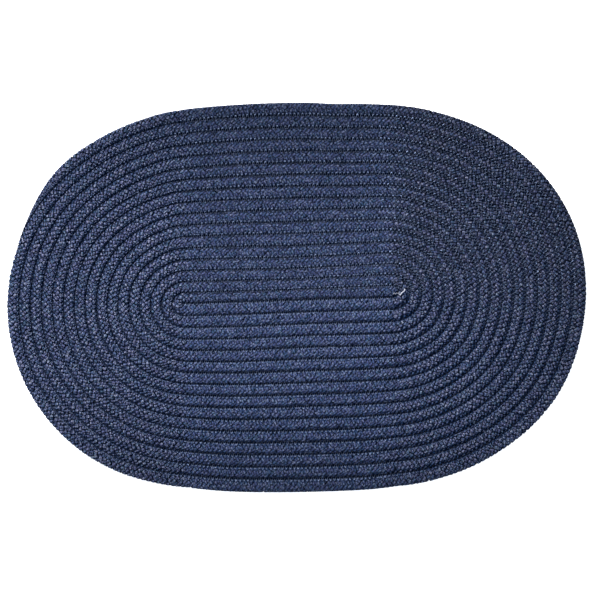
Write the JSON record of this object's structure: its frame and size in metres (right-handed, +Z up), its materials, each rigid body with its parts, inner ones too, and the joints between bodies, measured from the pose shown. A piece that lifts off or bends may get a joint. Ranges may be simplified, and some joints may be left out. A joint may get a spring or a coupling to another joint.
{
  "type": "oval braided rug",
  "caption": "Flat oval floor rug of one tubular yarn braid, wound in an elongated spiral and sewn edge to edge.",
  "frame": {"origin": "on the floor plane, under the middle of the rug's outline", "axes": "+X along the long side, +Y across the rug, +Z up through its thickness"},
  "size_m": [0.9136, 0.6142, 0.01],
  "materials": {
    "yarn": "matt braided synthetic yarn, navy, with each row a soft rounded rib"
  },
  "bodies": {
    "root": {"braided_rug": "yarn"}
  },
  "joints": []
}
